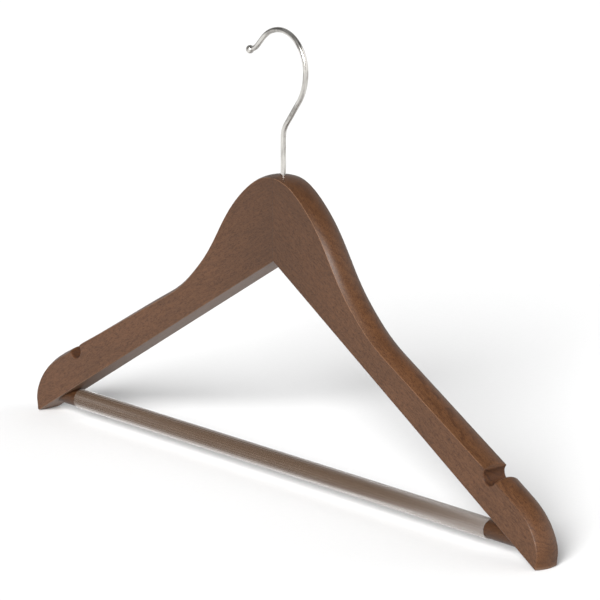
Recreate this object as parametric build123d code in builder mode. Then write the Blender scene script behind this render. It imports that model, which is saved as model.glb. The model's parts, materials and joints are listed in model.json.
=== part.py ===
from build123d import *
import os
from math import cos, pi, radians, sin, sqrt, tan

# A flat wooden suit hanger: two mitred arms, a swivelling wire hook and a trouser bar in a ribbed sleeve.
# +X runs along the trouser bar, -Y is the front face and +Z is up. The origin lies on the axis of the
# hook's shank, level with the inside of the rail bend, where a clothes rail carries the hanger.
# All sizes are in millimetres.

# ---- Arms ----
half_span = 222.0  # from the mitre to the outermost point of an arm's face
thickness = 15.5  # of the board, front face to back face
arm_angle = 30.27  # slope of the straight underside, degrees below level
seat_to_crotch = 127.5  # from the rail seat down to the corner between the undersides
crown_height = 46.9  # face outline above the crotch, on the mitre
tip_radius = 0.9  # lowest corner of each arm
underside_radius = 0.8  # long edges of the underside

# Face outline of the crown and neck: distance from the mitre, depth of wood above the underside
crown_outline = [(20.5, 51.8), (40.5, 44.2), (60.5, 27.8), (80.5, 20.0), (100.5, 19.2)]
shoulder_depth = 23.2  # depth of wood at the inner wall of the strap notch
# Face outline of the shoulder end: distance in from the outermost point, height above the lowest corner
end_outline = [(33.5, 42.2), (12.1, 29.2), (2.2, 16.6), (0.0, 3.5)]

# The upper edge is rounded over: share of the face outline's length, rise of the crest above it
crest_rises = [(0.0, 1.2), (0.22, 3.4), (0.46, 3.0), (0.74, 1.6), (0.82, 3.1), (0.9, 2.7), (1.0, 0.7)]
blank_margin = 5.0  # sawn blank beyond the crest, taken off by the rounding cutter

# ---- Strap notches ----
notch_from_tip = 38.5  # centre of the notch, in from the outermost point
notch_radius = 4.7
notch_height = 44.4  # centre of the notch above the lowest corner
notch_mouth = 7.6  # width of the way in, narrower than the round bottom
notch_lip_radius = 1.6  # outer lip

# ---- Mitre joint and its loose tongue ----
tongue_length = 24.0  # across the mitre
tongue_thickness = 5.0
tongue_height = 19.0
tongue_above_crotch = 21.0

# ---- Hook ----
wire_dia = 3.0
bend_radius = 21.0  # centre line of the rail bend
bend_offset = -1.5  # centre of the rail bend, from the shank's axis
nose_radius = 23.5  # centre line, from the top of the bend to the nose
nose_angle = 46.0  # of the bend past its top
nose_run = 5.8
flick_radius = 10.0  # reverse curve before the ball
flick_angle = 29.0
flick_run = 2.6
ball_dia = 4.8
neck_radius = 28.0  # centre line, below the rail bend
lean_angle = 38.0  # of the sloping run, from the shank's axis
shank_bend_radius = 13.0
shank_clearance = 0.1  # all round the shank, where it turns in the wood and the washer

# ---- Swivel hardware in the crotch ----
pocket_dia = 9.0
pocket_height = 17.0  # shoulder of the pocket above the crotch
washer_dia = 7.0
washer_thickness = 0.5
nut_flats = 5.5
nut_height = 2.4
nut_chamfer = 0.35
swivel_play = 0.1  # between the washer and the nut
shank_tail = 1.2  # end of the shank below the nut

# ---- Trouser bar ----
bar_dia = 10.5
bar_above_tip = 12.9  # axis of the bar above the lowest corner
bar_end_wall = 8.5  # wood left outside the bar's end, at the outermost point
sleeve_wall = 0.5
bare_left = 11.6  # of the bar's axis between the left arm and the sleeve
bare_right = 23.6
rib_count = 40
rib_height = 0.25
rib_width = 0.4

# ---- Brads that pin the bar, driven from the back face ----
brad_inset = 16.5  # in from the outermost point
brad_shank_dia = 1.4
brad_length = 12.0
brad_head_dia = 2.4
brad_head_height = 0.6
brad_head_recess = 0.1

# ---- Worked-out places ----
crotch_z = -seat_to_crotch
slope = tan(radians(arm_angle))
tip_z = crotch_z - half_span * slope
face_y = thickness / 2
bar_z = tip_z + bar_above_tip
bar_entry_x = (crotch_z - bar_z) / slope
bar_end_x = half_span - bar_end_wall
sleeve_dia = bar_dia + 2 * sleeve_wall
sleeve_start_x = bare_left - bar_entry_x
sleeve_length = 2 * bar_entry_x - bare_left - bare_right
notch_x = half_span - notch_from_tip
notch_z = tip_z + notch_height
pocket_z = crotch_z + pocket_height
washer_z = pocket_z - washer_thickness
nut_z = washer_z - swivel_play - nut_height
shank_end_z = nut_z - shank_tail
tongue_z = crotch_z + tongue_above_crotch
brad_x = half_span - brad_inset


def brad_entry(x):
    """Where the brad at x enters the back face, its axis pointing out of the wood."""
    return Location((x, face_y, bar_z), (-90, 0, 0))


def above_underside(x, depth):
    """Point of the XZ plane at x, with this depth of wood above the straight underside."""
    return (x, crotch_z - x * slope + depth)


os.makedirs("parts", exist_ok=True)

# ---- Face outline of the right arm, from the crown down to just past the lowest corner ----
crown = (0, crotch_z + crown_height)
waist = [above_underside(x, depth) for x, depth in crown_outline]
notch_inner = above_underside(notch_x - notch_mouth / 2, shoulder_depth)
arm_run = (notch_inner[0] - waist[-1][0], notch_inner[1] - waist[-1][1])
shoulder = [(half_span - inset, tip_z + height) for inset, height in end_outline]
with BuildLine(Plane.XZ) as face_outline:
    Spline(crown, *waist, tangents=[(1, 0), arm_run])
    Line(waist[-1], notch_inner)
    Spline(notch_inner, *shoulder, tangents=[arm_run, (0, -1)])
    Line(shoulder[-1], (half_span, tip_z - blank_margin))
outline = face_outline.wire()

# ---- Rounding cutter: everything beyond a crested arc, carried along the face outline ----
arc_overrun = 0.5  # the arc runs on past the faces, so that it cuts them cleanly
cutter_reach = 16.0
cutter_steps = 24


def crest_rise(share):
    """Height of the crest above the face outline: eases from each listed rise to the next."""
    share = min(max(share, 0), 1)
    for (start, low), (end, high) in zip(crest_rises, crest_rises[1:]):
        if share <= end:
            return low + (high - low) * (1 - cos(pi * (share - start) / (end - start))) / 2


def outline_plane(share):
    """Plane square to the face outline, with its x along +Y and its y pointing out of the wood."""
    along = outline % max(share, 0)
    spot = outline @ max(share, 0) + along * (min(share, 0) * outline.length)
    return Plane(origin=spot, x_dir=(0, 1, 0), z_dir=along)


with BuildPart() as rounding_cutter:
    arc_y = face_y + arc_overrun
    cutter_y = arc_y + arc_overrun
    for step in range(-1, cutter_steps + 1):
        share = step / cutter_steps
        rise = crest_rise(share)
        arc_radius = (face_y**2 + rise**2) / (2 * rise)
        arc_end = rise - arc_radius + sqrt(arc_radius**2 - arc_y**2)
        with BuildSketch(outline_plane(share)):
            with BuildLine():
                ThreePointArc((-arc_y, arc_end), (0, rise), (arc_y, arc_end))
                Polyline((arc_y, arc_end), (cutter_y, arc_end), (cutter_y, cutter_reach),
                         (-cutter_y, cutter_reach), (-cutter_y, arc_end), (-arc_y, arc_end))
            make_face()
    loft()

# ---- Right arm ----
blank_line = []
for step in range(cutter_steps + 1):
    share = step / cutter_steps
    spot = outline_plane(share).from_local_coords((0, crest_rise(share) + blank_margin, 0))
    blank_line.append((spot.X, spot.Z))

with BuildPart() as right_arm:
    with BuildSketch(Plane.XZ):
        with BuildLine():
            Polyline((0, crotch_z), *blank_line, above_underside(blank_line[-1][0], 0), close=True)
        make_face()
    extrude(amount=face_y, both=True)
    add(rounding_cutter.part, mode=Mode.SUBTRACT)
    # Strap notch: a round hole with a straight way in from above
    with BuildSketch(Plane.XZ):
        with Locations((notch_x, notch_z)):
            Circle(notch_radius)
            Rectangle(notch_mouth, 4 * notch_radius, align=(Align.CENTER, Align.MIN))
    extrude(amount=thickness, both=True, mode=Mode.SUBTRACT)
    curved_edges = right_arm.edges().filter_by(GeomType.BSPLINE)
    fillet(curved_edges.sort_by_distance((notch_x + notch_radius, 0, notch_z))[0], notch_lip_radius)
    tip_edge = right_arm.edges().filter_by(GeomType.BSPLINE).sort_by(Axis.Z)[0]
    fillet(tip_edge, tip_radius)
    long_edges = right_arm.edges().filter_by(GeomType.LINE).sort_by(Edge.length)[-2:]
    fillet(long_edges, underside_radius)
    # Bore for the shank down the mitre, and the pocket for its washer and nut
    with Locations((0, 0, crotch_z)):
        Cylinder(wire_dia / 2 + shank_clearance, seat_to_crotch,
                 align=(Align.CENTER, Align.CENTER, Align.MIN), mode=Mode.SUBTRACT)
        Cylinder(pocket_dia / 2, 2 * pocket_height, mode=Mode.SUBTRACT)
    # Blind mortise for half of the loose tongue
    with BuildSketch(Plane.XY.offset(tongue_z)):
        SlotOverall(tongue_length, tongue_thickness)
    extrude(amount=tongue_height, mode=Mode.SUBTRACT)
    # Blind bore for the trouser bar
    with BuildSketch(Plane.YZ.offset(bar_end_x)):
        with Locations((0, bar_z)):
            Circle(bar_dia / 2)
    extrude(amount=-2 * (bar_end_x - bar_entry_x), mode=Mode.SUBTRACT)
    # Hole for the brad, with a seat for its head in the back face
    with Locations(brad_entry(brad_x)):
        Cylinder(brad_shank_dia / 2, brad_length, align=(Align.CENTER, Align.CENTER, Align.MAX),
                 mode=Mode.SUBTRACT)
        Cylinder(brad_head_dia / 2, brad_head_height + brad_head_recess,
                 align=(Align.CENTER, Align.CENTER, Align.MAX), mode=Mode.SUBTRACT)
right_arm.part.label = "right_arm"
export_step(right_arm.part, "parts/right_arm.step")

with BuildPart() as left_arm:
    mirror(right_arm.part, about=Plane.YZ)
left_arm.part.label = "left_arm"
export_step(left_arm.part, "parts/left_arm.step")

# ---- Loose tongue glued across the mitre ----
with BuildPart() as mitre_tongue:
    with BuildSketch(Plane.XY.offset(tongue_z)):
        SlotOverall(tongue_length, tongue_thickness)
        Circle(wire_dia / 2 + shank_clearance, mode=Mode.SUBTRACT)
    extrude(amount=tongue_height)
mitre_tongue.part.label = "mitre_tongue"
export_step(mitre_tongue.part, "parts/mitre_tongue.step")

# ---- Hook: one length of wire, from its tail in the pocket to the ball on its nose ----
lean = radians(lean_angle)
bend_side_x = bend_offset + bend_radius
bent_width = (shank_bend_radius + neck_radius) * (1 - cos(lean))
lean_run = (bend_side_x - bent_width) / sin(lean)
bend_side_z = wire_dia / 2 - bend_radius
shank_top_z = bend_side_z - (shank_bend_radius + neck_radius) * sin(lean) - lean_run * cos(lean)
with BuildPart() as hook:
    with BuildLine(Plane.XZ) as hook_path:
        shank = Line((0, shank_end_z), (0, shank_top_z))
        shank_bend = JernArc(shank @ 1, shank % 1, shank_bend_radius, -lean_angle)
        lean_line = Line(shank_bend @ 1, shank_bend @ 1 + (shank_bend % 1) * lean_run)
        neck = JernArc(lean_line @ 1, lean_line % 1, neck_radius, lean_angle)
        rail_bend = JernArc(neck @ 1, neck % 1, bend_radius, 90)
        nose = JernArc(rail_bend @ 1, rail_bend % 1, nose_radius, nose_angle)
        nose_line = Line(nose @ 1, nose @ 1 + (nose % 1) * nose_run)
        flick = JernArc(nose_line @ 1, nose_line % 1, flick_radius, -flick_angle)
        flick_line = Line(flick @ 1, flick @ 1 + (flick % 1) * flick_run)
    with BuildSketch(Plane.XY.offset(shank_end_z)):
        Circle(wire_dia / 2)
    sweep(path=hook_path.wire())
    with Locations(flick_line @ 1):
        Sphere(ball_dia / 2)
hook.part.label = "hook"
export_step(hook.part, "parts/hook.step")

# ---- Washer and lock nut in the crotch pocket ----
with BuildPart() as hook_washer:
    with BuildSketch(Plane.XY.offset(washer_z)):
        Circle(washer_dia / 2)
        Circle(wire_dia / 2 + shank_clearance, mode=Mode.SUBTRACT)
    extrude(amount=washer_thickness)
hook_washer.part.label = "hook_washer"
export_step(hook_washer.part, "parts/hook_washer.step")

with BuildPart() as hook_nut:
    with BuildSketch(Plane.XY.offset(nut_z)):
        RegularPolygon(nut_flats / 2, 6, major_radius=False)
        Circle(wire_dia / 2, mode=Mode.SUBTRACT)
    extrude(amount=nut_height)
    # Chamfered corners: only what lies inside a double cone stays
    with BuildSketch(Plane.XZ):
        corner = nut_flats / sqrt(3)
        shave = corner - nut_flats / 2
        with BuildLine():
            Polyline((0, nut_z), (corner - shave, nut_z), (corner, nut_z + nut_chamfer),
                     (corner, nut_z + nut_height - nut_chamfer), (corner - shave, nut_z + nut_height),
                     (0, nut_z + nut_height), close=True)
        make_face()
    revolve(axis=Axis.Z, mode=Mode.INTERSECT)
hook_nut.part.label = "hook_nut"
export_step(hook_nut.part, "parts/hook_nut.step")

# ---- Trouser bar and its ribbed sleeve ----
with BuildPart() as trouser_bar:
    with BuildSketch(Plane.YZ.offset(-bar_end_x)):
        with Locations((0, bar_z)):
            Circle(bar_dia / 2)
    extrude(amount=2 * bar_end_x)
    for x in (-brad_x, brad_x):
        with Locations(brad_entry(x)):
            Cylinder(brad_shank_dia / 2, brad_length, align=(Align.CENTER, Align.CENTER, Align.MAX),
                     mode=Mode.SUBTRACT)
trouser_bar.part.label = "trouser_bar"
export_step(trouser_bar.part, "parts/trouser_bar.step")

with BuildPart() as grip_sleeve:
    with BuildSketch(Plane.YZ.offset(sleeve_start_x)):
        with Locations((0, bar_z)):
            Circle(sleeve_dia / 2 - rib_height)
            with PolarLocations(sleeve_dia / 2 - rib_height, rib_count):
                Rectangle(2 * rib_height, rib_width)
            Circle(bar_dia / 2, mode=Mode.SUBTRACT)
    extrude(amount=sleeve_length)
grip_sleeve.part.label = "grip_sleeve"
export_step(grip_sleeve.part, "parts/grip_sleeve.step")

# ---- Brads through the back faces into the bar ----
for name, x in (("left_brad", -brad_x), ("right_brad", brad_x)):
    with BuildPart() as brad:
        with Locations(brad_entry(x)):
            with Locations((0, 0, -brad_head_recess)):
                Cylinder(brad_shank_dia / 2, brad_length - brad_head_recess,
                         align=(Align.CENTER, Align.CENTER, Align.MAX))
                Cylinder(brad_head_dia / 2, brad_head_height, align=(Align.CENTER, Align.CENTER, Align.MAX))
    brad.part.label = name
    export_step(brad.part, f"parts/{name}.step")
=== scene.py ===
import json
from math import cos, pi, radians, sin

import bpy
import numpy as np
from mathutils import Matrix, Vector


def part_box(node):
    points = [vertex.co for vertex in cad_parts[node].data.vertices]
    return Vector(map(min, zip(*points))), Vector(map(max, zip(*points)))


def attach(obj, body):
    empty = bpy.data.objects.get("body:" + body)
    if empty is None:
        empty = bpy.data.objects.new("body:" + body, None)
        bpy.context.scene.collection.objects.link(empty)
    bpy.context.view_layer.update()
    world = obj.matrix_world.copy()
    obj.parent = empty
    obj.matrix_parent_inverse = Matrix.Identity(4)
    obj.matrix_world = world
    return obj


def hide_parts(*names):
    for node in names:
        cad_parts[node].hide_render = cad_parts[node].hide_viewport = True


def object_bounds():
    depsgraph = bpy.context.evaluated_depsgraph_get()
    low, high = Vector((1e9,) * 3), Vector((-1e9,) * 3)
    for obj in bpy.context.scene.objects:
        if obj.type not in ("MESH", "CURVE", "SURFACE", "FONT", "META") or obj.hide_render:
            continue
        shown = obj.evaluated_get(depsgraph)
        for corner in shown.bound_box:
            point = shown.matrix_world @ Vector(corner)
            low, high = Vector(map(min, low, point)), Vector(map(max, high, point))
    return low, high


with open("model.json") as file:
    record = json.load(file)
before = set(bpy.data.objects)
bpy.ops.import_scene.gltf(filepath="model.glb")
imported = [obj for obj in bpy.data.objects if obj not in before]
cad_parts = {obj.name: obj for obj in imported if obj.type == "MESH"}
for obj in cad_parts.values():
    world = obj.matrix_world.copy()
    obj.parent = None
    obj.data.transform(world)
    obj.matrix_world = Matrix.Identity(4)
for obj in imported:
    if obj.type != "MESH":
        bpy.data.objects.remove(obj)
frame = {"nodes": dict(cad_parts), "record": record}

# A flat wooden suit hanger with a nickel hook and a trouser bar in a clear ribbed sleeve, standing on its two
# tips on pale studio paper. Places and sizes are in metres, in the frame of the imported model. The patterns in
# the materials count in millimetres.

MM = 0.001
cad_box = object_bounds()
arm_slope = radians(30.27)  # of each arm's underside and of its grain, below level
bar_low, bar_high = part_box("trouser_bar")
strap_notches = [mount["pos_m"] for mount in frame["record"]["mounts"] if "strap_notch" in mount["name"]]


# ---- Shader helpers ----
class Finish:
    """One material under construction: adds nodes, sets their sockets and links them."""

    def __init__(self, name, **sockets):
        self.material = bpy.data.materials.new(name)
        self.material.use_nodes = True
        self.tree = self.material.node_tree
        self.shader = self.tree.nodes["Principled BSDF"]
        for socket, value in sockets.items():
            self.shader.inputs[socket.replace("_", " ")].default_value = value

    def put(self, socket, value):
        """Gives a socket a constant, or links it to another node's output."""
        if isinstance(value, bpy.types.NodeSocket):
            self.tree.links.new(value, socket)
        else:
            socket.default_value = value

    def surface(self, socket, value):
        """Gives one of the shader's own sockets its value."""
        self.put(self.shader.inputs[socket], value)

    def math(self, operation, *values, clamp=False):
        node = self.tree.nodes.new("ShaderNodeMath")
        node.operation, node.use_clamp = operation, clamp
        for socket, value in zip(node.inputs, values):
            self.put(socket, value)
        return node.outputs[0]

    def vector_number(self, operation, *vectors):
        """The number that a vector operation gives, such as a length or a dot product."""
        node = self.tree.nodes.new("ShaderNodeVectorMath")
        node.operation = operation
        for socket, vector in zip(node.inputs, vectors):
            self.put(socket, vector)
        return node.outputs["Value"]

    def blend(self, share, low, high, mode="MIX"):
        """Mixes two colours by a share, in one of the mix modes."""
        node = self.tree.nodes.new("ShaderNodeMix")
        node.data_type, node.blend_type = "RGBA", mode
        first_colour, second_colour, mixed_colour = node.inputs[6], node.inputs[7], node.outputs[2]
        self.put(node.inputs["Factor"], share)
        self.put(first_colour, low)
        self.put(second_colour, high)
        return mixed_colour

    def spread(self, value, low, high, start=0.0, end=1.0, smooth=True):
        """Maps low..high to start..end, and holds the ends."""
        node = self.tree.nodes.new("ShaderNodeMapRange")
        node.interpolation_type = "SMOOTHSTEP" if smooth else "LINEAR"
        for socket, number in zip(node.inputs, (value, low, high, start, end)):
            self.put(socket, number)
        return node.outputs[0]

    def place(self, turn=(0, 0, 0), stretch=(1, 1, 1), shift=(0, 0, 0)):
        """Object coordinates in millimetres, turned, then stretched and shifted."""
        coordinates = self.tree.nodes.new("ShaderNodeTexCoord").outputs["Object"]
        turned = self.tree.nodes.new("ShaderNodeMapping")
        turned.inputs["Scale"].default_value = (1000, 1000, 1000)
        turned.inputs["Rotation"].default_value = turn
        self.put(turned.inputs["Vector"], coordinates)
        stretched = self.tree.nodes.new("ShaderNodeMapping")
        stretched.inputs["Scale"].default_value = stretch
        stretched.inputs["Location"].default_value = shift
        self.put(stretched.inputs["Vector"], turned.outputs[0])
        return stretched.outputs[0]

    def axis(self, where, letter):
        """One coordinate of a place."""
        node = self.tree.nodes.new("ShaderNodeSeparateXYZ")
        self.put(node.inputs[0], where)
        return node.outputs[letter]

    def noise(self, where, detail, roughness=0.5):
        """Soft noise from 0 to 1 with one cell to each unit of the place it is given."""
        node = self.tree.nodes.new("ShaderNodeTexNoise")
        for socket, value in (("Vector", where), ("Scale", 1.0), ("Detail", detail), ("Roughness", roughness)):
            self.put(node.inputs[socket], value)
        return node.outputs["Fac"]

    def bump(self, height, distance, strength, normal=None):
        node = self.tree.nodes.new("ShaderNodeBump")
        self.put(node.inputs["Height"], height)
        self.put(node.inputs["Distance"], distance)
        self.put(node.inputs["Strength"], strength)
        if normal is not None:
            self.put(node.inputs["Normal"], normal)
        return node.outputs[0]


# ---- Stained beech ----
def growth_rings(wood, along_grain, pith):
    """Late wood, 0 to 1: circles about the pith line, one ring after another, each darkening slowly and ending
    sharply. A slow sway bends them, so that they don't run dead straight."""
    ring_width, sway_reach = 2.9, 16.0
    board = along_grain(1, 1, pith)
    squares = [wood.math("POWER", wood.axis(board, letter), 2.0) for letter in "YZ"]
    from_pith = wood.math("SQRT", wood.math("ADD", *squares))
    sway = wood.noise(along_grain(0.022, 0.07), 3.0, 0.55)
    swayed = wood.math("ADD", from_pith, wood.math("MULTIPLY", sway, sway_reach))
    ring = wood.math("FRACT", wood.math("DIVIDE", swayed, ring_width))
    return wood.math("MULTIPLY", wood.spread(ring, 0.35, 0.93), wood.spread(ring, 1.0, 0.93))


def nearest_notch(wood):
    """Distance in millimetres from the axis of the nearest strap notch, which runs through the arm along Y."""
    distance = 1000.0
    for notch in strap_notches:
        from_notch = wood.place(stretch=(1, 0, 1), shift=(-notch[0] / MM, 0, -notch[2] / MM))
        distance = wood.math("MINIMUM", wood.vector_number("LENGTH", from_notch), distance)
    return distance


def stained_wood(name, turn, pith, seam_side=0, shade=1.0, underside=None):
    """Walnut-stained beech under satin lacquer. Grain runs along the turned X axis. Growth rings are circles
    about a pith line beside the board, so they show as streaks on the flats and as curved bands where the
    rounded edge cuts through them. On top lie short dark ray flecks, pores and cloudy stain."""
    wood = Finish(name, Roughness=0.4, IOR=1.5, Specular_IOR_Level=0.21, Coat_Weight=0.07, Coat_Roughness=0.28)

    def stain(red, green, blue):
        return (red * shade, green * shade, blue * shade, 1)

    def along_grain(lengthwise, crosswise, shift=(0, 0, 0)):
        """A place whose units are so many to the millimetre along the grain and across it."""
        return wood.place(turn, (lengthwise, crosswise, crosswise), shift)

    # Patterns, each from 0 to 1
    waver = wood.noise(along_grain(0.012, 0.12), 3.0, 0.55)
    streak = wood.noise(along_grain(0.045, 2.2), 4.0, 0.65)
    cloud = wood.noise(along_grain(0.02, 0.06, (5, 3, 1)), 3.0)
    fleck = wood.noise(along_grain(0.40, 2.4, (2, 7, 5)), 2.0, 0.6)
    pore = wood.noise(along_grain(0.75, 4.6, (9, 4, 6)), 1.0)

    # Regions. The arms' flats are 7.75 mm from their middle plane, and the rounded edge lies between them
    rounded_edge = wood.spread(wood.math("ABSOLUTE", wood.axis(wood.place(), "Y")), 7.70, 7.45)
    notch_distance = nearest_notch(wood)
    notched = wood.spread(notch_distance, 5.3, 4.9)
    from_mitre = wood.math("ABSOLUTE", wood.axis(wood.place(), "X"))

    # Stain and grain: rings are strongest where the edge and the notches cut across them
    colour = wood.blend(wood.spread(cloud, 0.35, 0.65), stain(0.0680, 0.0310, 0.0148), stain(0.0800, 0.0356, 0.0166))
    end_grain = wood.math("ADD", wood.spread(rounded_edge, 0.0, 1.0, 0.85, 1.6), notched)
    ring_strength = wood.math("MULTIPLY", growth_rings(wood, along_grain, pith),
                              wood.spread(waver, 0.40, 0.62, 0.22, 0.55))
    ring_strength = wood.math("MULTIPLY", ring_strength, end_grain, clamp=True)
    colour = wood.blend(ring_strength, colour, stain(0.039, 0.0160, 0.0068))
    colour = wood.blend(wood.spread(streak, 0.42, 0.66, 0.0, 0.42), colour, stain(0.110, 0.052, 0.0245))
    colour = wood.blend(wood.spread(fleck, 0.53, 0.61, 0.0, 0.62), colour, stain(0.031, 0.0118, 0.0048))
    colour = wood.blend(wood.spread(pore, 0.56, 0.66, 0.0, 0.75), colour, stain(0.021, 0.0082, 0.0036))

    # The stain is a little deeper towards the crown and warmer on the rounded edge; the notches are darkened with
    # painted shade
    colour = wood.blend(wood.spread(from_mitre, 80.0, 10.0, 0.0, 0.34), colour, stain(0.030, 0.0128, 0.0055))
    colour = wood.blend(rounded_edge, colour, (1.0, 0.92, 0.76, 1), "MULTIPLY")
    # Painted shade in the notches' hollows
    colour = wood.blend(notched, colour, (0.74, 0.64, 0.52, 1), "MULTIPLY")

    # The underside, lightened with a painted reflection of the pale floor below it
    if underside is not None:
        underside_place = pith[2] + underside
        across_board = wood.axis(along_grain(1, 1, pith), "Z")
        painted_floor_glow = wood.spread(across_board, underside_place + 2.6, underside_place + 1.0)
        painted_floor_glow = wood.math("MULTIPLY", painted_floor_glow, wood.math("MULTIPLY", rounded_edge, 0.45))
        # Painted reflection of the floor on the underside
        colour = wood.blend(painted_floor_glow, colour, stain(0.175, 0.110, 0.074))

    # Crisp edges: the lacquer rounds them a little, and their colour is lightened there, partly as stain rubbed thin
    # and partly as a painted highlight, but not at the mitre or in the notches
    rounded = wood.tree.nodes.new("ShaderNodeBevel")
    rounded.samples = 6
    rounded.inputs["Radius"].default_value = 0.55 * MM
    true_normal = wood.tree.nodes.new("ShaderNodeNewGeometry").outputs["Normal"]
    edge = wood.spread(wood.vector_number("DOT_PRODUCT", rounded.outputs[0], true_normal), 0.998, 0.955)
    wear_and_highlight = wood.math("MULTIPLY", edge, wood.spread(from_mitre, 1.0, 2.0, 0.0, 0.6))
    wear_and_highlight = wood.math("MULTIPLY", wear_and_highlight, wood.spread(notch_distance, 6.5, 9.0))
    # Partly stain rubbed thin, partly a painted highlight along the edges
    colour = wood.blend(wear_and_highlight, colour, stain(0.22, 0.115, 0.062))

    # The mitre's glue line, and on the left arm a slightly darker end against it: painted shade for the duller sheen
    # of its grain there
    if seam_side:
        colour = wood.blend(wood.spread(from_mitre, 0.45, 0.10, 0.0, 0.15), colour, (0.03, 0.014, 0.007, 1))
        if seam_side < 0:
            # Painted shade on the left arm's end at the mitre
            colour = wood.blend(wood.spread(from_mitre, 14.0, 0.0, 0.0, 0.26), colour, (0.040, 0.018, 0.009, 1))
    wood.surface("Base Color", colour)

    grain_height = wood.math("SUBTRACT", wood.math("MULTIPLY", streak, 0.6), wood.math("MULTIPLY", pore, 0.8))
    wood.surface("Normal", wood.bump(grain_height, 0.05 * MM, 0.5, rounded.outputs[0]))
    satin = wood.spread(streak, 0.3, 0.7, 0.40, 0.54, smooth=False)
    wood.surface("Roughness", wood.math("MAXIMUM", satin, wood.math("MULTIPLY", notched, 0.8)))
    return wood.material


# ---- Other finishes ----
def nickel_wire():
    """Bright nickel plate over drawn wire: draw lines in its bumps and roughness, a slightly clouded polish, and
    dark and bright streaks in its colour that are painted reflections.
    """
    nickel = Finish("nickel_wire", Metallic=1.0, Roughness=0.14)
    lines = nickel.noise(nickel.place(stretch=(0.06, 1.6, 0.06)), 2.0, 0.6)
    cloud = nickel.noise(nickel.place(stretch=(0.5, 0.5, 0.3)), 2.0)
    # The base colour's dark and bright streaks are painted reflections
    painted_reflection_streaks = nickel.blend(nickel.spread(lines, 0.40, 0.62), (0.32, 0.305, 0.285, 1), (0.66, 0.64, 0.605, 1))
    painted_reflection_streaks = nickel.blend(nickel.spread(cloud, 0.3, 0.7, 0.0, 0.4), painted_reflection_streaks, (0.72, 0.70, 0.66, 1))
    nickel.surface("Base Color", painted_reflection_streaks)
    nickel.surface("Roughness", nickel.spread(lines, 0.35, 0.7, 0.26, 0.14, smooth=False))
    nickel.surface("Normal", nickel.bump(lines, 0.01 * MM, 0.25))
    return nickel.material


def zinc_steel():
    """Zinc-plated steel: grey with a faint blotchy passivation and fine brushing."""
    zinc = Finish("zinc_steel", Metallic=1.0, Roughness=0.35)
    blotch = zinc.noise(zinc.place(stretch=(0.9, 0.9, 0.9)), 3.0, 0.6)
    brushing = zinc.noise(zinc.place(stretch=(9, 9, 1)), 2.0)
    zinc.surface("Base Color", zinc.blend(blotch, (0.46, 0.46, 0.45, 1), (0.62, 0.61, 0.58, 1)))
    zinc.surface("Roughness", zinc.spread(blotch, 0.3, 0.7, 0.28, 0.45, smooth=False))
    zinc.surface("Normal", zinc.bump(brushing, 0.01 * MM, 0.4))
    return zinc.material


def ribbed_pvc():
    """Soft clear plastic, slightly smoky, with faint drag marks along its length. Below the bar's middle it is
    painted paler, as a painted reflection of the pale floor."""
    pvc = Finish("ribbed_pvc", Roughness=0.4, IOR=1.5, Alpha=0.62, Specular_IOR_Level=0.6, Sheen_Weight=0.72,
                 Sheen_Roughness=0.3, Coat_Weight=0.25, Coat_Roughness=0.38)
    drag = pvc.noise(pvc.place(stretch=(0.02, 1.8, 1.8)), 3.0, 0.6)
    smoky = pvc.blend(drag, (0.066, 0.037, 0.021, 1), (0.118, 0.076, 0.047, 1))
    bar_middle = (bar_low[2] + bar_high[2]) / 2 / MM
    above_middle = pvc.axis(pvc.place(shift=(0, 0, -bar_middle)), "Z")
    # Painted reflection of the floor: paler below the bar's middle
    painted_floor_reflection = pvc.spread(above_middle, -0.8, -4.8, 0.0, 0.85)
    pvc.surface("Base Color", pvc.blend(painted_floor_reflection, smoky, (0.42, 0.38, 0.35, 1)))
    pvc.surface("Roughness", pvc.spread(drag, 0.3, 0.7, 0.38, 0.50, smooth=False))
    pvc.surface("Normal", pvc.bump(drag, 0.02 * MM, 0.3))
    return pvc.material


def plain_beech():
    """Bare beech for the hidden tongue: pale, with fine flecks along its grain."""
    beech = Finish("plain_beech", Roughness=0.6)
    grain = beech.noise(beech.place(stretch=(0.1, 1.8, 1.8)), 3.0, 0.6)
    beech.surface("Base Color", beech.blend(grain, (0.52, 0.34, 0.20, 1), (0.66, 0.48, 0.31, 1)))
    beech.surface("Normal", beech.bump(grain, 0.05 * MM, 0.4))
    return beech.material


# ---- Ribbed sleeve over the bar ----
def new_piece(name, points, faces, finish, body, slot, *nodes):
    """Makes a mesh piece with smooth faces, gives it its finish and lets it stand for CAD nodes."""
    mesh = bpy.data.meshes.new(name)
    mesh.from_pydata(points.reshape(-1, 3), [], faces.reshape(-1, 4))
    mesh.update()
    mesh.shade_smooth()
    piece = bpy.data.objects.new(name, mesh)
    bpy.context.scene.collection.objects.link(piece)
    mesh.materials.append(finish)
    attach(piece, body)
    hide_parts(*nodes)


def closed_grid(rows, columns):
    """Quads of a rows-by-columns grid of points that closes on itself both ways, as a ring's surface does."""
    row, column = np.arange(rows)[:, None], np.arange(columns)[None, :]
    next_row, next_column = (row + 1) % rows, (column + 1) % columns
    return np.stack([row * columns + column, next_row * columns + column,
                     next_row * columns + next_column, row * columns + next_column], axis=-1)


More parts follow.
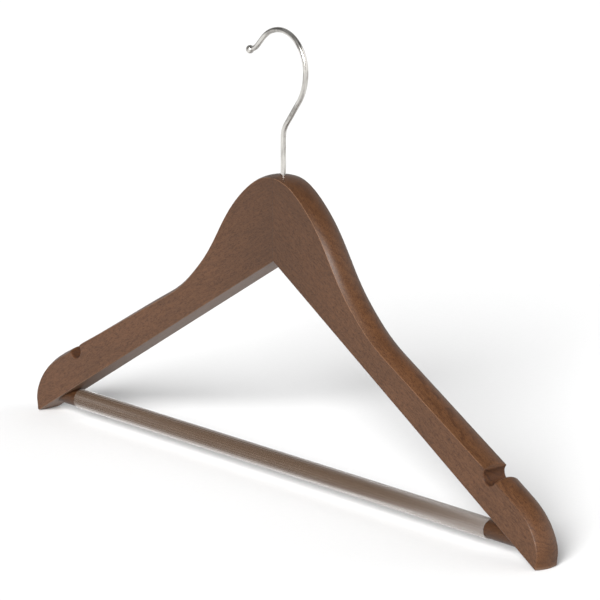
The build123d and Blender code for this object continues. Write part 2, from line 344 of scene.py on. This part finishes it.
def ribbed_sleeve():
    """A tube along X. Its section's outer radius falls from the rib tops by rib depth times (1 - |cos|) of the
    angle times half the rib count, so the ribs are round and the valleys sharp. Rows go round the wall: from the
    inside of the left lip along the outside to the right lip and back inside; both lips are quarter-round, and
    the ribs fade to two fifths of their depth over them."""
    low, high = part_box("grip_sleeve")
    outer = (high[2] - low[2]) / 2
    inner = (bar_high[2] - bar_low[2]) / 2 + 0.03 * MM  # stands just off the bar's surface
    ribs, rib_depth, lip = 26, 0.15 * MM, 0.16 * MM
    steps_per_rib, lip_rows, faded = 12, 5, 0.4
    steps = ribs * steps_per_rib
    angle = np.arange(steps) * 2 * pi / steps
    valley = 1 - np.abs(np.cos(angle * ribs / 2))

    # Each row: place along X, share of the wall from inner to outer, and how much of the ribs it shows
    turn = np.linspace(0, pi / 2, lip_rows)
    fade = np.linspace(faded, 1, lip_rows)
    left_lip = low[0] + lip * (1 - np.cos(turn))
    right_lip = low[0] + high[0] - left_lip[::-1]
    wall_share = 1 - lip * (1 - np.sin(turn)) / (outer - inner)
    row_x = np.array([low[0], *left_lip, *right_lip, high[0]])
    row_share = np.array([0, *wall_share, *wall_share[::-1], 0])
    row_ribs = np.array([0, *fade, *fade[::-1], 0])

    radius = inner + (outer - inner) * row_share[:, None] - rib_depth * valley[None, :] * row_ribs[:, None]
    along = np.broadcast_to(row_x[:, None], radius.shape)
    points = np.stack([along, radius * np.sin(angle), radius * np.cos(angle)], axis=-1)
    points[..., 1:] += ((low[1] + high[1]) / 2, (low[2] + high[2]) / 2)
    new_piece("ribbed_sleeve", points, closed_grid(len(row_x), steps), ribbed_pvc(), "hanger", "ribbed_pvc",
              "grip_sleeve")


ribbed_sleeve()


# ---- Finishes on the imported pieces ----
def arm_underside():
    """How far the arms' undersides lie from the origin, square to them, in millimetres."""
    mesh = frame["nodes"]["right_arm"].data
    corners = np.empty(3 * len(mesh.vertices))
    mesh.vertices.foreach_get("co", corners)
    arm_x, arm_z = corners[0::3], corners[2::3]
    return float((arm_z * cos(arm_slope) + arm_x * sin(arm_slope)).min()) / MM


underside = arm_underside()
finishes = {
    "right_arm": stained_wood("right_arm_wood", (0, -arm_slope, 0), (0, -9, 26), seam_side=1,
                              underside=underside),
    "left_arm": stained_wood("left_arm_wood", (0, arm_slope, 0), (0, -11, 31), seam_side=-1,
                             underside=underside),
    "trouser_bar": stained_wood("bar_wood", (0, 0, 0), (0, 6, 250), shade=0.64),
    "mitre_tongue": plain_beech(),
    "hook": nickel_wire(),
}
zinc = zinc_steel()
for name, node in frame["nodes"].items():
    finish = finishes.get(name, zinc)
    if not node.material_slots:
        node.data.materials.append(finish)
    for slot in node.material_slots:
        slot.material = finish


# ---- Studio ----
def studio_floor():
    """A wide level sheet of pale paper under the tips."""
    reach, level = 7.0, cad_box[0][2]
    mesh = bpy.data.meshes.new("studio_floor")
    mesh.from_pydata([(-reach, -reach, level), (reach, -reach, level),
                      (reach, reach, level), (-reach, reach, level)], [], [(0, 1, 2, 3)])
    floor = bpy.data.objects.new("studio_floor", mesh)
    bpy.context.scene.collection.objects.link(floor)
    paper = Finish("studio_paper", Roughness=0.85, Specular_IOR_Level=0.1)
    tooth = paper.noise(paper.place(stretch=(0.3, 0.3, 0.3)), 2.0)
    paper.surface("Base Color", paper.blend(tooth, (0.77, 0.77, 0.77, 1), (0.79, 0.79, 0.79, 1)))
    mesh.materials.append(paper.material)


studio_floor()

azimuth, elevation = radians(50.9), radians(13.208)
screen_right = Vector((cos(azimuth), sin(azimuth), 0))
screen_front = Vector((sin(azimuth), -cos(azimuth), 0))
up = Vector((0, 0, 1))
aim = Vector((0.014574, 0, -0.14788))
toward_camera = screen_front * cos(elevation) + up * sin(elevation)
camera_distance = 2.99856

camera_data = bpy.data.cameras.new("camera")
camera_data.lens, camera_data.sensor_width, camera_data.clip_end = 325.2, 36, 50
camera = bpy.data.objects.new("camera", camera_data)
bpy.context.scene.collection.objects.link(camera)
camera.location = aim + toward_camera * camera_distance
camera.rotation_euler = toward_camera.to_track_quat("Z", "Y").to_euler()
bpy.context.scene.camera = camera


def sun_light(name, toward, width, strength):
    """A wide, far studio light that shines from one direction; its width in degrees sets how soft it is."""
    data = bpy.data.lights.new(name, "SUN")
    data.energy, data.angle = strength, radians(width)
    lamp = bpy.data.objects.new(name, data)
    bpy.context.scene.collection.objects.link(lamp)
    lamp.rotation_euler = toward.to_track_quat("Z", "Y").to_euler()


sun_light("key_light", screen_front * 2.6 - screen_right * 0.75 + up * 1.25, 24, 6.6)
sun_light("top_light", screen_front * 0.3 - screen_right * 0.5 + up, 80, 0.3)
sun_light("edge_light", screen_right * 1.0 + screen_front * 0.25 + up * 0.12, 90, 2.3)
sun_light("back_light", screen_right * 0.3 - screen_front * 1.0 + up * 0.25, 90, 0.8)


def studio_world():
    """Pale surroundings: bright at the horizon, falling to their dimmest 30 degrees above it."""
    horizon_strength, overhead_strength, dimmest_from = 0.52, 0.11, 0.5
    world = bpy.data.worlds.new("studio_world")
    bpy.context.scene.world = world
    world.use_nodes = True
    tree = world.node_tree
    direction = tree.nodes.new("ShaderNodeTexCoord").outputs["Generated"]
    split = tree.nodes.new("ShaderNodeSeparateXYZ")
    tree.links.new(direction, split.inputs[0])
    dimming = tree.nodes.new("ShaderNodeMapRange")
    tree.links.new(split.outputs["Z"], dimming.inputs[0])
    for socket, number in zip(list(dimming.inputs)[1:5], (0.0, dimmest_from, horizon_strength, overhead_strength)):
        socket.default_value = number
    background = tree.nodes["Background"]
    tree.links.new(dimming.outputs[0], background.inputs["Strength"])
    background.inputs["Color"].default_value = (1, 1, 1, 1)


studio_world()
bpy.context.scene.view_settings.view_transform = "Standard"
